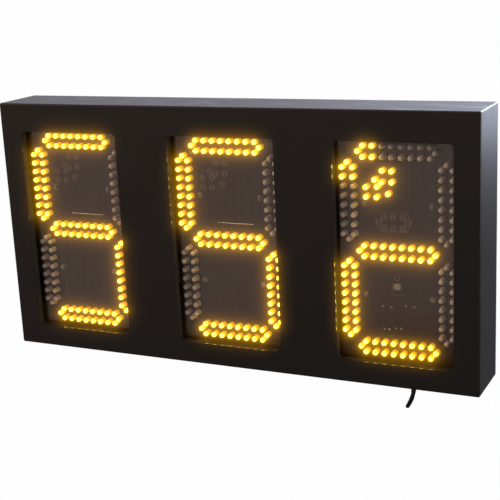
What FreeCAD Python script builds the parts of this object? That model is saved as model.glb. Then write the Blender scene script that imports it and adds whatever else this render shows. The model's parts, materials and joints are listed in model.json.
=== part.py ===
import FreeCAD, Part
import math
import os
import re
import Sketcher

# Three-digit LED number sign in a folded sheet-metal cabinet, with a rear service door.
# Millimetres. X runs to the viewer's right, Z up, and the front looks along -Y.
# The origin is the centre of the four mounting slots, on the plane where posts meet the sign.

os.makedirs("parts", exist_ok=True)
doc = FreeCAD.newDocument("led_number_sign")

CELLS = {
    # cabinet
    "width": 503.0, "height": 260.0, "depth": 60.0, "wall": 1.5, "corner": 1.8,
    "standoff": 25.0, "lip": 12.0,
    # windows, panes and their gaskets
    "digit_pitch": 171.0, "digit_drop": 3.4, "window_w": 113.0, "window_high": 209.0,
    "window_corner": 4.0, "reveal": 7.5, "gasket_thick": 1.0, "pane_thick": 2.0,
    "pane_lap": 4.0, "clip_thick": 1.2, "clip_wide": 10.0, "clip_reach": 3.0, "clip_place": 30.0,
    # light-emitting diodes
    "led_rad": 2.5, "led_flange_rad": 2.9, "led_flange_thick": 1.0, "led_high": 8.6,
    "led_gap": 0.5, "led_pitch": 9.0, "row_gap": 10.3, "tip_step": 4.75,
    "bar_rise": 93.5, "side_reach": 46.7, "side_rise": 46.8,
    # parts on the boards' backs
    "chip_long": 10.0, "chip_high": 4.0, "chip_thick": 1.8,
    "header_w": 8.0, "header_deep": 7.0, "header_high": 20.0, "header_wall": 1.5,
    "ribbon_thick": 1.0, "ribbon_w": 16.0, "ribbon_bend": 3.0, "ribbon_rise": 8.0, "ribbon_seat": 2.0,
    # digit boards and what holds them
    "board_w": 122.0, "board_high": 217.0, "board_thick": 1.6,
    "fix_x": 32.0, "fix_z": 43.5, "spacer_long": 12.0, "spacer_rad": 3.0,
    "screw_rad": 1.5, "head_rad": 2.4, "head_thick": 2.2, "nut_rad": 3.0, "nut_thick": 2.4,
    "rail_high": 20.0, "rail_deep": 8.0, "rail_end_gap": 2.0, "bracket_long": 15.0,
    "bracket_screw": 8.0,
    # controller
    "control_x": -35.0, "control_w": 90.0, "control_high": 110.0, "control_spacer": 10.0,
    "control_margin": 12.0, "terminal_w": 16.0, "terminal_deep": 9.0, "terminal_high": 11.0,
    "terminal_pitch": 8.0,
    # rear panel and door
    "panel_inset": 4.0, "panel_screw_rad": 2.0, "panel_head_rad": 3.8, "panel_head_thick": 2.4,
    "panel_screw_long": 8.0, "panel_screw_edge": 8.0, "panel_screw_x": 57.0, "panel_screw_z": 45.0,
    "hole_gap": 0.1,
    "opening_left": -150.0, "opening_right": 80.0, "opening_half": 85.0,
    "door_lap": 15.0, "door_pan": 4.7, "door_clear": 0.3, "seal_wide": 9.0,
    "hinge_out": 5.0, "hinge_rad": 3.5, "hinge_pin_rad": 2.0, "hinge_long": 40.0,
    "hinge_place": 60.0, "leaf_thick": 1.5, "leaf_reach": 25.0, "running": 0.06,
    "fixed_leaf": 16.0, "knuckle_clear": 4.5, "knuckle_gap": 0.3,
    "rivet_rad": 1.6, "rivet_head_rad": 3.0, "rivet_tail_rad": 2.6, "rivet_apart": 12.0,
    "fixed_rivet": 11.5, "door_rivet": 19.5,
    # quarter-turn latches
    "latch_inset": 13.0, "latch_place": 55.0, "bezel_rad": 11.0, "bezel_thick": 3.0,
    "barrel_rad": 9.0, "latch_nut_rad": 12.5, "latch_nut_thick": 3.0, "rotor_rad": 6.0,
    "cam_thick": 2.5, "cam_long": 24.0, "cam_half": 6.0,
    "cam_gap": 0.5, "stub_rad": 4.0, "bolt_rad": 5.0, "bolt_thick": 3.0,
    # mounting rails
    "mount_x": 420.0, "mount_z": 200.0, "crown_half": 13.0, "flange_w": 10.0,
    "hat_thick": 2.0, "hat_high": 232.0, "slot_rad": 4.5, "slot_long": 16.0, "flange_screw_z": 85.0,
    "flange_screw_rad": 2.5, "flange_head_rad": 4.4, "flange_head_thick": 3.2,
    # supply lead and its gland
    "lead_rad": 2.0, "gland_x": 176.0, "gland_y": -43.0, "gland_thread_rad": 6.0,
    "gland_hex_rad": 8.0, "gland_flange_thick": 4.0, "gland_dome_long": 11.0,
    "gland_seal_thick": 0.8, "gland_nut_rad": 9.0, "gland_nut_thick": 4.0, "gland_inner_long": 7.0,
    "coil_x": 138.0, "coil_y": -12.5, "coil_z": -54.0, "coil_rad": 22.0, "coil_thick_rad": 7.4,
    "peg_rad": 3.0, "peg_stub_rad": 2.0, "peg_head_rad": 7.0, "tie_gap": 0.2, "tie_wide": 4.0,
    "tie_thick": 0.9, "plug_rad": 5.0, "plug_long": 34.0, "plug_boot_long": 15.0,
    "contact_rad": 2.75, "contact_bore": 1.05, "contact_long": 9.5,
}

sheet = doc.addObject("Spreadsheet::Sheet", "dims")
for line, (word, number) in enumerate(CELLS.items(), start=1):
    sheet.set(f"A{line}", word)
    sheet.set(f"B{line}", str(number))
    sheet.setAlias(f"B{line}", word)
doc.recompute()

# Planes across the depth, as expressions; each starts where the one before it ends.
FRONT = "(-standoff - depth)"
RETURN_END = f"({FRONT} + reveal)"
PANE_FRONT = f"({RETURN_END} + gasket_thick)"
PANE_BACK = f"({PANE_FRONT} + pane_thick)"
LED_TIP = f"({PANE_BACK} + led_gap)"
BOARD_FRONT = f"({LED_TIP} + led_high)"
BOARD_BACK = f"({BOARD_FRONT} + board_thick)"
RAIL_FRONT = f"({BOARD_BACK} + spacer_long)"
RAIL_BACK = f"({RAIL_FRONT} + wall)"
CONTROL_FRONT = f"({RAIL_BACK} + control_spacer)"
CONTROL_BACK = f"({CONTROL_FRONT} + board_thick)"
CABINET_BACK = "(-standoff)"
PANEL_BACK = f"({CABINET_BACK} + wall)"
DOOR_LIP = f"({PANEL_BACK} + door_clear)"
DOOR_BACK = f"({DOOR_LIP} + door_pan)"
DOOR_FACE = f"({DOOR_BACK} - wall)"
CENTRE_Z = "(-digit_drop)"
SIDES = {"left": -1, "middle": 0, "right": 1}

pieces = {}


def bound(text):
    """The expression text, with each cell's alias led by the sheet's name."""
    return re.sub(r"[a-z_]+[a-z]", lambda word: "dims." + word.group(0), str(text))


known = {}
work = doc.addObject("Spreadsheet::Sheet", "work")


def value(text):
    """The number that an expression gives, worked out in a cell of a second sheet."""
    if isinstance(text, (int, float)):
        return float(text)
    if text not in known:
        work.set("A1", "=" + bound(text))
        work.recompute()
        known[text] = float(work.get("A1"))
    return known[text]


def keep(label, thing):
    """Names a finished sub-part; its label names its file."""
    thing.Label = label
    pieces[label] = thing
    return thing


def bind(thing, **cells):
    for name, text in cells.items():
        thing.setExpression(name.replace("__", "."), bound(text))
    return thing


def box(name, low, size):
    thing = doc.addObject("Part::Box", name)
    bind(thing, Length=size[0], Width=size[1], Height=size[2], Placement__Base__x=low[0],
         Placement__Base__y=low[1], Placement__Base__z=low[2])
    return thing


def rod(name, start, axis, radius, length):
    """A cylinder that grows from start along +axis."""
    turns = {"X": FreeCAD.Rotation(FreeCAD.Vector(0, 1, 0), 90),
             "Y": FreeCAD.Rotation(FreeCAD.Vector(1, 0, 0), -90),
             "Z": FreeCAD.Rotation()}
    thing = doc.addObject("Part::Cylinder", name)
    thing.Placement = FreeCAD.Placement(FreeCAD.Vector(), turns[axis])
    bind(thing, Radius=radius, Height=length, Placement__Base__x=start[0],
         Placement__Base__y=start[1], Placement__Base__z=start[2])
    return thing


def fuse(name, *things):
    thing = doc.addObject("Part::MultiFuse", name)
    thing.Shapes = list(things)
    return thing


def cut(name, base, *tools):
    thing = doc.addObject("Part::Cut", name)
    thing.Base = base
    thing.Tool = tools[0] if len(tools) == 1 else fuse(name + "_tools", *tools)
    return thing


def rounded(name, base, radius, wanted):
    """Part::Fillet on the straight edges for which wanted(edge) is true."""
    doc.recompute()
    edges = [number for number, edge in enumerate(base.Shape.Edges, start=1) if wanted(edge)]
    thing = doc.addObject("Part::Fillet", name)
    thing.Base = base
    thing.Edges = [(number, value(radius), value(radius)) for number in edges]
    return thing


def along(axis):
    """A test for straight edges that run along one axis."""
    direction = {"X": FreeCAD.Vector(1, 0, 0), "Y": FreeCAD.Vector(0, 1, 0),
                 "Z": FreeCAD.Vector(0, 0, 1)}[axis]

    def test(edge):
        run = edge.Vertexes[-1].Point - edge.Vertexes[0].Point
        return run.Length > 0 and abs(run.normalize().dot(direction)) > 0.999

    return test


def new_sketch(body, plane, offset):
    face = next(f for f in body.Origin.OriginFeatures if f.Role == plane + "_Plane")
    sketch = body.newObject("Sketcher::SketchObject", body.Name + "_sketch")
    sketch.AttachmentSupport = [(face, "")]
    sketch.MapMode = "FlatFace"
    bind(sketch, AttachmentOffset__Base__z=offset)
    return sketch


def pin_point(sketch, edge, end, across, up):
    """Ties one end of an edge to the sketch's origin by two distances."""
    for kind, text in (("DistanceX", across), ("DistanceY", up)):
        number = sketch.addConstraint(Sketcher.Constraint(kind, -1, 1, edge, end, value(text)))
        sketch.setExpression(f"Constraints[{number}]", bound(text))


def add_outline(sketch, outline):
    """A closed outline of straight edges, each corner tied by two expressions."""
    corners = [FreeCAD.Vector(value(a), value(b), 0) for a, b in outline]
    first = sketch.GeometryCount
    count = len(corners)
    for n in range(count):
        sketch.addGeometry(Part.LineSegment(corners[n], corners[(n + 1) % count]), False)
    for n in range(count):
        sketch.addConstraint(
            Sketcher.Constraint("Coincident", first + n, 2, first + (n + 1) % count, 1))
        pin_point(sketch, first + n, 1, *outline[n])


def add_hole(sketch, across, up, radius):
    middle = FreeCAD.Vector(value(across), value(up), 0)
    circle = Part.Circle(middle, FreeCAD.Vector(0, 0, 1), value(radius))
    edge = sketch.addGeometry(circle, False)
    pin_point(sketch, edge, 3, across, up)
    number = sketch.addConstraint(Sketcher.Constraint("Radius", edge, value(radius)))
    sketch.setExpression(f"Constraints[{number}]", bound(radius))


def prism(name, plane, start, length, outlines, holes=()):
    """A body padded from outlines in a plane, from start along the plane's own axis."""
    body = doc.addObject("PartDesign::Body", name)
    offset = f"-({start}) - ({length})" if plane == "XZ" else start
    sketch = new_sketch(body, plane, offset)
    for outline in outlines:
        add_outline(sketch, outline)
    for across, up, radius in holes:
        add_hole(sketch, across, up, radius)
    pad = body.newObject("PartDesign::Pad", name + "_pad")
    pad.Profile = sketch
    bind(pad, Length=length)
    sketch.Visibility = False
    return body


def lathe(name, profile, axis="Y"):
    """A body turned from (radius, place along the axis) corners; its axis passes the origin."""
    body = doc.addObject("PartDesign::Body", name)
    sketch = new_sketch(body, "XY" if axis == "Y" else "XZ", "0")
    add_outline(sketch, profile)
    turn = body.newObject("PartDesign::Revolution", name + "_turn")
    turn.Profile = sketch
    turn.ReferenceAxis = (sketch, ["V_Axis"])
    turn.Angle = 360
    return body


def rectangle(low_a, low_b, high_a, high_b):
    return [(low_a, low_b), (high_a, low_b), (high_a, high_b), (low_a, high_b)]


def hexagon(radius):
    """The six corners of a nut, from its radius over the corners."""
    angles = [math.radians(60 * n) for n in range(6)]
    return [(f"{radius} * {math.cos(angle):.5f}", f"{radius} * {math.sin(angle):.5f}")
            for angle in angles]


def made(label, shape):
    """A sub-part whose shape Part's own functions give."""
    thing = doc.addObject("Part::Feature", label)
    thing.Shape = shape
    return keep(label, thing)


def group(label, masters, places):
    """One node of like solids: each master's shape at each place (x, y, z)."""
    doc.recompute()
    copies = []
    for master in masters if isinstance(masters, list) else [masters]:
        for place in places:
            copy = master.Shape.copy()
            copy.translate(FreeCAD.Vector(*[value(text) for text in place]))
            copies.append(copy)
    return made(label, Part.makeCompound(copies))


def digit_x(side):
    return f"({SIDES[side]} * digit_pitch)"


# ---- places that more than one piece uses --------------------------------------------------

# Four panel screws along the top and the bottom, and two on each side.
PANEL_SCREWS = [(f"{a} * panel_screw_x", f"{b} * (height / 2 - panel_screw_edge)")
                for a in (-3, -1, 1, 3) for b in (-1, 1)]
PANEL_SCREWS += [(f"{a} * (width / 2 - panel_screw_edge)", f"{b} * panel_screw_z")
                 for a in (-1, 1) for b in (-1, 1)]
FLANGE_SCREWS = [(f"{a} * mount_x / 2 + {b} * (crown_half + flange_w / 2)", f"{c} * flange_screw_z")
                 for a in (-1, 1) for b in (-1, 1) for c in (-1, 1)]
BOARD_SCREWS = [(f"{digit_x(side)} + {a} * fix_x", f"{CENTRE_Z} + {b} * fix_z")
                for side in SIDES for a in (-1, 1) for b in (-1, 1)]
CONTROL_SUPPORTS = [(f"control_x + {a} * (control_w / 2 - control_margin)", f"{CENTRE_Z} + {b} * fix_z")
                    for a in (-1, 1) for b in (-1, 1)]
BRACKET_X = "(width / 2 - wall - bracket_screw)"
HEADERS = {"left": ("(-digit_pitch + 14)", "0"), "middle": ("26", "22"),
           "right": ("(digit_pitch - 14)", "-10")}
CONTROL_HEADERS = {"left": ("(control_x - 38)", "0"), "middle": ("(control_x + 38)", "22"),
                   "right": ("(control_x + 38)", "-10")}
TERMINAL_X = "(control_x + 8)"
TERMINAL_Z = f"({CENTRE_Z} - control_high / 2 + 1)"
HINGE_X = "(opening_left - door_lap - hinge_out)"
HINGE_Y = f"({PANEL_BACK} + hinge_rad + 0.5)"
HINGE_PLACES = ("(-hinge_place)", "hinge_place")
RIVET_PLACES = [f"{z} + {way} * rivet_apart" for z in HINGE_PLACES for way in (-1, 1)]
LATCH_X = "(opening_right - latch_inset)"
LATCH_PLACES = {"upper": "latch_place", "lower": "(-latch_place)"}
PEG_Z = "(coil_z + coil_rad - coil_thick_rad - peg_rad - tie_gap)"
FLOOR = "(-height / 2)"
GLAND_FLANGE = f"({FLOOR} - gland_seal_thick - gland_flange_thick)"
GLAND_MOUTH = f"({GLAND_FLANGE} - gland_dome_long)"
GLAND_TOP = f"({FLOOR} + wall + gland_inner_long)"
PLUG_PLACE = ("116.5", "coil_y", "-108")

# The free lead: straight out of the gland, a drip loop towards the rear, and up to the coil.
LEAD_ROUTE = [
    ("gland_x", "gland_y", GLAND_MOUTH), ("gland_x", "gland_y", "-154.5"), ("173.8", "-42.4", "-164"),
    ("170.2", "-36.8", "-172"), ("167", "-27.6", "-175.4"), ("164.8", "-18.2", "-172"),
    ("164.6", "-12.6", "-163.5"), ("166.2", "-12", "-152.5"), ("168", "-12.8", "-137"),
    ("166.2", "-12.2", "-114"), ("161.8", "-12.9", "-85"), ("coil_x + coil_rad", "coil_y", "coil_z")]
TAIL_ROUTE = [("coil_x - coil_rad", "coil_y", "coil_z"), ("115.5", "coil_y", "-74"),
              ("117", "coil_y", "-93"), PLUG_PLACE]


# ---- cabinet -------------------------------------------------------------------------------

def rounded_block(name, low, size, radius):
    """A block with its four edges along Y rounded."""
    return rounded(name, box(name + "_block", low, size), radius, along("Y"))


def make_shell():
    """The folded and welded tray: front, four sides, rear lip and three window returns."""
    block = box("shell_block", ("-width / 2", FRONT, "-height / 2"), ("width", "depth", "height"))
    front = value(FRONT)

    def folded(edge):
        on_front = all(abs(v.Point.y - front) < 0.01 for v in edge.Vertexes)
        return on_front or along("Y")(edge)

    outer = rounded("shell_outer", block, "corner", folded)
    inner = box("shell_inner", ("-width / 2 + wall", f"{FRONT} + wall", "-height / 2 + wall"),
                ("width - 2 * wall", "depth - 2 * wall", "height - 2 * wall"))
    mouth = box("shell_mouth", ("-width / 2 + lip", f"{CABINET_BACK} - 2 * wall", "-height / 2 + lip"),
                ("width - 2 * lip", "3 * wall", "height - 2 * lip"))
    tray = cut("shell_tray", outer, inner, mouth)
    returns, windows = [], []
    for side in SIDES:
        low_x, low_z = f"{digit_x(side)} - window_w / 2", f"{CENTRE_Z} - window_high / 2"
        returns.append(rounded_block(
            "return_" + side, (f"{low_x} - wall", f"{FRONT} + wall / 2", f"{low_z} - wall"),
            ("window_w + 2 * wall", "reveal - wall / 2", "window_high + 2 * wall"),
            "window_corner + wall"))
        windows.append(rounded_block(
            "window_" + side, (low_x, f"{FRONT} - wall", low_z),
            ("window_w", "reveal + 2 * wall", "window_high"), "window_corner"))
    holes = [rod(f"shell_screw_hole_{n}", (x, f"{CABINET_BACK} - 2 * wall", z), "Y",
                 "panel_screw_rad + hole_gap", "3 * wall")
             for n, (x, z) in enumerate(PANEL_SCREWS)]
    gland = rod("shell_gland_hole", ("gland_x", "gland_y", f"{FLOOR} - wall"), "Z",
                "gland_thread_rad + hole_gap", "3 * wall")
    solid = fuse("shell_solid", tray, *returns)
    keep("front_shell", cut("shell_cut", solid, *windows, *holes, gland))


def make_rear_panel():
    opening = rectangle("opening_left", "-opening_half", "opening_right", "opening_half")
    outer = rectangle("-width / 2 + panel_inset", "-height / 2 + panel_inset",
                      "width / 2 - panel_inset", "height / 2 - panel_inset")
    holes = [(x, z, "panel_screw_rad + hole_gap") for x, z in PANEL_SCREWS]
    holes += [(x, z, "flange_screw_rad + hole_gap") for x, z in FLANGE_SCREWS]
    holes += [(f"{HINGE_X} - fixed_rivet", z, "rivet_rad") for z in RIVET_PLACES]
    holes.append(("coil_x", PEG_Z, "peg_stub_rad + hole_gap"))
    keep("rear_panel", prism("rear_panel_body", "XZ", CABINET_BACK, "wall", [outer, opening], holes))


def screw(name, shank_rad, shank_long, head_rad, head_thick):
    """A pan-head screw that points along -Y, its head's seat at the origin."""
    return lathe(name, [("0", f"-({shank_long})"), (shank_rad, f"-({shank_long})"), (shank_rad, "0"),
                        (head_rad, "0"), (head_rad, f"0.55 * ({head_thick})"),
                        (f"0.7 * ({head_rad})", head_thick), ("0", head_thick)])


def make_panel_screws():
    master = screw("panel_screw", "panel_screw_rad", "panel_screw_long", "panel_head_rad",
                   "panel_head_thick")
    group("panel_screws", master, [(x, PANEL_BACK, z) for x, z in PANEL_SCREWS])


def make_panes():
    """Clear panes, the gaskets they press on the window returns, and their clips."""
    half_w, half_h = "(window_w / 2 + wall + pane_lap)", "(window_high / 2 + wall + pane_lap)"
    for side in SIDES:
        outline = rectangle(f"{digit_x(side)} - {half_w}", f"{CENTRE_Z} - {half_h}",
                            f"{digit_x(side)} + {half_w}", f"{CENTRE_Z} + {half_h}")
        keep("pane_" + side, prism(f"pane_{side}_body", "XZ", PANE_FRONT, "pane_thick", [outline]))
    outline = rectangle(f"-{half_w}", f"-{half_h}", half_w, half_h)
    inside = rectangle("-window_w / 2", "-window_high / 2", "window_w / 2", "window_high / 2")
    master = prism("gasket_master", "XZ", "0", "gasket_thick", [outline, inside])
    group("pane_gaskets", master, [(digit_x(side), RETURN_END, CENTRE_Z) for side in SIDES])
    # A clip is a Z-shaped strip: foot on the front sheet, leg past the pane, finger over it.
    foot, finger = f"({FRONT} + wall)", PANE_BACK
    clips = []
    for name, way in (("upper", 1), ("lower", -1)):
        leg, reach, toe = [f"{way} * ({half_h} + {text})"
                           for text in ("0.3", "0.3 - clip_reach", "0.3 + clip_wide")]
        inner = f"{way} * ({half_h} + 0.3 + clip_thick)"
        profile = [(foot, toe), (foot, leg), (finger, leg), (finger, reach),
                   (f"{finger} + clip_thick", reach), (f"{finger} + clip_thick", inner),
                   (f"{foot} + clip_thick", inner), (f"{foot} + clip_thick", toe)]
        clips.append(prism(f"clip_{name}", "YZ", "-clip_wide / 2", "clip_wide", [profile]))
    group("pane_clips", clips, [(f"{digit_x(side)} + {way} * clip_place", "0", CENTRE_Z)
                                for side in SIDES for way in (-1, 1)])


# ---- digits --------------------------------------------------------------------------------

def segment_places():
    """Every diode of the seven segments: name of segment, x and z from the digit's centre.

    A segment is two rows of eight diodes, and one more on the centre line at each end.
    """
    pitch, half_gap = value("led_pitch"), value("row_gap / 2")
    side, rise, bar = value("side_reach"), value("side_rise"), value("bar_rise")
    centres = {"a": (0, bar, 0), "g": (0, 0, 0), "d": (0, -bar, 0), "f": (-side, rise, 1),
               "b": (side, rise, 1), "e": (-side, -rise, 1), "c": (side, -rise, 1)}
    end = 3.5 * pitch + value("tip_step")
    places = []
    for name, (x, z, upright) in centres.items():
        line = [(end * way, 0) for way in (-1, 1)]
        line += [((n - 3.5) * pitch, way * half_gap) for n in range(8) for way in (-1, 1)]
        for run, off in line:
            across, up = (off, run) if upright else (run, off)
            places.append((name, x + across, z + up))
    return places


def ring_places():
    """Ten diodes inside the right digit that close its degree ring.

    They lie in two rows round a corner, alike on both sides of the corner's diagonal.
    """
    diagonal_sum = 47.2
    arm = [(-4.2, 76.0), (-4.2, 65.8), (-13.2, 76.2), (-14.0, 65.3)]
    other_arm = [(diagonal_sum - z, diagonal_sum - x) for x, z in arm]
    on_diagonal = [(-20.4, 67.6), (-7.7, 54.9)]
    return arm + on_diagonal + other_arm


def is_lit(side, segment, x, z):
    """The sign shows 5, 5 and a small c under a degree ring."""
    if side != "right":
        return segment in "afgcd"
    in_ring = (segment == "a" and x < -20) or (segment == "f" and z > 65)
    return segment in "ged" or in_ring


def make_diodes():
    """Round 5 mm diodes with a flange, a straight side and a domed tip towards the viewer."""
    body = doc.addObject("PartDesign::Body", "diode")
    sketch = new_sketch(body, "XY", "0")
    rad, flange, thick, high = [value(n) for n in
                                ("led_rad", "led_flange_rad", "led_flange_thick", "led_high")]
    shoulder = high - rad
    corners = [(0, 0), (flange, 0), (flange, -thick), (rad, -thick), (rad, -shoulder)]
    for start, stop in zip(corners, corners[1:]):
        sketch.addGeometry(Part.LineSegment(FreeCAD.Vector(*start, 0), FreeCAD.Vector(*stop, 0)), False)
    centre = FreeCAD.Vector(0, -shoulder, 0)
    dome = Part.ArcOfCircle(Part.Circle(centre, FreeCAD.Vector(0, 0, 1), rad), -math.pi / 2, 0)
    sketch.addGeometry(dome, False)
    sketch.addGeometry(Part.LineSegment(FreeCAD.Vector(0, -high, 0), FreeCAD.Vector(0, 0, 0)), False)
    joints = [(0, 2, 1, 1), (1, 2, 2, 1), (2, 2, 3, 1), (3, 2, 4, 2), (4, 1, 5, 1), (5, 2, 0, 1)]
    for joint in joints:
        sketch.addConstraint(Sketcher.Constraint("Coincident", *joint))
    cells = [("0", "0"), ("led_flange_rad", "0"), ("led_flange_rad", "-led_flange_thick"),
             ("led_rad", "-led_flange_thick")]
    for edge, (across, up) in enumerate(cells):
        pin_point(sketch, edge, 1, across, up)
    pin_point(sketch, 4, 3, "0", "led_rad - led_high")
    pin_point(sketch, 4, 2, "led_rad", "led_rad - led_high")
    sketch.addConstraint(Sketcher.Constraint("PointOnObject", 4, 1, -2))
    turn = body.newObject("PartDesign::Revolution", "diode_turn")
    turn.Profile = sketch
    turn.ReferenceAxis = (sketch, ["V_Axis"])
    turn.Angle = 360
    for side in SIDES:
        centre_x, centre_z = value(digit_x(side)), value(CENTRE_Z)
        lit, dark = [], []
        for segment, x, z in segment_places():
            place = (centre_x + x, BOARD_FRONT, centre_z + z)
            (lit if is_lit(side, segment, x, z) else dark).append(place)
        if side == "right":
            lit += [(centre_x + x, BOARD_FRONT, centre_z + z) for x, z in ring_places()]
        group("lit_leds_" + side, body, lit)
        group("dark_leds_" + side, body, dark)


def make_boards():
    """Digit boards on spacers, screwed through to the two cross rails."""
    for side in SIDES:
        outline = rectangle(f"{digit_x(side)} - board_w / 2", f"{CENTRE_Z} - board_high / 2",
                            f"{digit_x(side)} + board_w / 2", f"{CENTRE_Z} + board_high / 2")
        holes = [(f"{digit_x(side)} + {a} * fix_x", f"{CENTRE_Z} + {b} * fix_z", "screw_rad + hole_gap")
                 for a in (-1, 1) for b in (-1, 1)]
        keep("board_" + side,
             prism(f"board_{side}_body", "XZ", BOARD_FRONT, "board_thick", [outline], holes))
    # These screws point along +Y, so their profile is the panel screw's, turned about.
    long = "(board_thick + spacer_long + wall + nut_thick + 1)"
    master = lathe("board_screw", [("0", "-head_thick"), ("0.7 * head_rad", "-head_thick"),
                                   ("head_rad", "-0.5 * head_thick"), ("head_rad", "0"),
                                   ("screw_rad", "0"), ("screw_rad", long), ("0", long)])
    group("board_screws", master, [(x, BOARD_FRONT, z) for x, z in BOARD_SCREWS])
    master = lathe("board_spacer", rectangle("screw_rad + hole_gap", "0", "spacer_rad", "spacer_long"))
    group("board_spacers", master, [(x, BOARD_BACK, z) for x, z in BOARD_SCREWS])
    master = prism("board_nut", "XZ", "0", "nut_thick", [hexagon("nut_rad")], [("0", "0", "screw_rad")])
    group("board_nuts", master, [(x, RAIL_BACK, z) for x, z in BOARD_SCREWS])


def make_board_parts():
    """Driver chips and ribbon headers on the boards' backs."""
    master = box("chip_master", ("-chip_long / 2", "0", "-chip_high / 2"),
                 ("chip_long", "chip_thick", "chip_high"))
    spots = [(dx, dz) for dx in (-38, 38) for dz in (18, -4, -26)] + [(-14, 74), (14, 74), (0, -82)]
    group("driver_chips", master,
          [(f"{digit_x(side)} + {dx}", BOARD_BACK, dz) for side in SIDES for dx, dz in spots])
    block = box("header_block", ("-header_w / 2", "0", "-header_high / 2"),
                ("header_w", "header_deep", "header_high"))
    slot = box("header_slot", ("header_wall - header_w / 2", "header_wall", "header_wall - header_high / 2"),
               ("header_w - 2 * header_wall", "header_deep", "header_high - 2 * header_wall"))
    master = cut("header_master", block, slot)
    group("ribbon_headers", master, [(x, BOARD_BACK, z) for x, z in HEADERS.values()]
          + [(x, CONTROL_BACK, z) for x, z in CONTROL_HEADERS.values()])


# ---- cross rails and controller ------------------------------------------------------------

def make_cross_rails():
    half = "(width / 2 - wall - rail_end_gap)"
    for name, way in (("upper", 1), ("lower", -1)):
        z = f"({CENTRE_Z} + {way} * fix_z)"
        low, high = f"{z} - rail_high / 2", f"{z} + rail_high / 2"
        profile = [(RAIL_FRONT, low), (RAIL_FRONT, high), (f"{RAIL_FRONT} + rail_deep", high),
                   (f"{RAIL_FRONT} + rail_deep", f"{high} - wall"), (RAIL_BACK, f"{high} - wall"),
                   (RAIL_BACK, f"{low} + wall"), (f"{RAIL_FRONT} + rail_deep", f"{low} + wall"),
                   (f"{RAIL_FRONT} + rail_deep", low)]
        channel = prism(f"channel_{name}", "YZ", f"-{half}", f"2 * {half}", [profile])
        spots = [f"{digit_x(side)} + {a} * fix_x" for side in SIDES for a in (-1, 1)]
        spots += [f"control_x + {a} * (control_w / 2 - control_margin)" for a in (-1, 1)]
        spots += [f"{a} * {BRACKET_X}" for a in (-1, 1)]
        holes = [rod(f"channel_{name}_hole_{n}", (x, f"{RAIL_FRONT} - wall", z), "Y",
                     "screw_rad + hole_gap", "3 * wall") for n, x in enumerate(spots)]
        keep("cross_rail_" + name, cut(f"cross_rail_{name}_cut", channel, *holes))


def make_rail_brackets():
    """Angle pieces welded to the side walls, each screwed to a rail's end."""
    angles = []
    for name, way in (("left", -1), ("right", 1)):
        wall_x = f"{way} * (width / 2 - wall)"
        thin_x = f"{way} * (width / 2 - 2 * wall)"
        end_x = f"{way} * (width / 2 - wall - bracket_long)"
        front, back = f"({RAIL_FRONT} - wall)", f"({RAIL_FRONT} + rail_deep)"
        profile = [(wall_x, front), (wall_x, back), (thin_x, back), (thin_x, RAIL_FRONT),
                   (end_x, RAIL_FRONT), (end_x, front)]
        angle = prism(f"bracket_{name}", "XY", "-rail_high / 2 + 2 * wall",
                      "rail_high - 4 * wall", [profile])
        hole = rod(f"bracket_{name}_hole", (f"{way} * {BRACKET_X}", f"{RAIL_FRONT} - 2 * wall", "0"), "Y",
                   "screw_rad", "3 * wall")
        angles.append(cut(f"bracket_{name}_cut", angle, hole))
    heights = [f"{CENTRE_Z} + {way} * fix_z" for way in (-1, 1)]
    group("rail_brackets", angles, [("0", "0", z) for z in heights])
    master = screw("rail_screw", "screw_rad", "2 * wall + 2", "head_rad", "head_thick")
    group("rail_screws", master, [(f"{way} * {BRACKET_X}", RAIL_BACK, z) for way in (-1, 1) for z in heights])


def make_controller():
    outline = rectangle("control_x - control_w / 2", f"{CENTRE_Z} - control_high / 2",
                        "control_x + control_w / 2", f"{CENTRE_Z} + control_high / 2")
    keep("controller_board", prism("controller_body", "XZ", CONTROL_FRONT, "board_thick", [outline],
                                   [(x, z, "screw_rad + hole_gap") for x, z in CONTROL_SUPPORTS]))
    # A nylon support: collar between rail and board, with a barbed pin through each.
    top = "(control_spacer + board_thick)"
    profile = [("0", "-wall - 1.2"), ("screw_rad", "-wall - 1.2"), ("screw_rad", "0"),
               ("spacer_rad", "0"), ("spacer_rad", "control_spacer"), ("screw_rad", "control_spacer"),
               ("screw_rad", top), ("2.2", top), ("0.8", f"{top} + 2"), ("0", f"{top} + 2")]
    master = lathe("controller_support", profile)
    group("controller_supports", master, [(x, RAIL_BACK, z) for x, z in CONTROL_SUPPORTS])
    blocks = [box("processor", ("control_x - 9", CONTROL_BACK, "-6"), ("12", "1.8", "12")),
              box("clock_can", ("control_x + 10", CONTROL_BACK, "-2"), ("10", "3.5", "4.5")),
              box("regulator", ("control_x + 18", CONTROL_BACK, "-30"), ("10", "4.5", "9")),
              box("coil_block", ("control_x - 2", CONTROL_BACK, "-36"), ("12", "6", "12")),
              rod("capacitor_a", ("control_x - 16", CONTROL_BACK, "-30"), "Y", "4", "8.5"),
              rod("capacitor_b", ("control_x - 28", CONTROL_BACK, "-30"), "Y", "4", "8.5")]
    group("controller_chips", blocks, [("0", "0", "0")])
    body = box("terminal_body", (TERMINAL_X, CONTROL_BACK, TERMINAL_Z),
               ("terminal_w", "terminal_deep", "terminal_high"))
    tools = []
    for n in (0, 1):
        x = f"{TERMINAL_X} + {n + 0.5} * terminal_pitch"
        tools.append(rod(f"terminal_hole_{n}", (x, f"{CONTROL_BACK} + terminal_deep / 2",
                         f"{TERMINAL_Z} - 1"), "Z", "lead_rad + hole_gap", "7"))
        tools.append(rod(f"terminal_screw_{n}", (x, f"{CONTROL_BACK} + terminal_deep - 0.8",
                         f"{TERMINAL_Z} + 6"), "Y", "1.6", "2"))
    keep("terminal_block", cut("terminal_cut", body, *tools))


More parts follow.
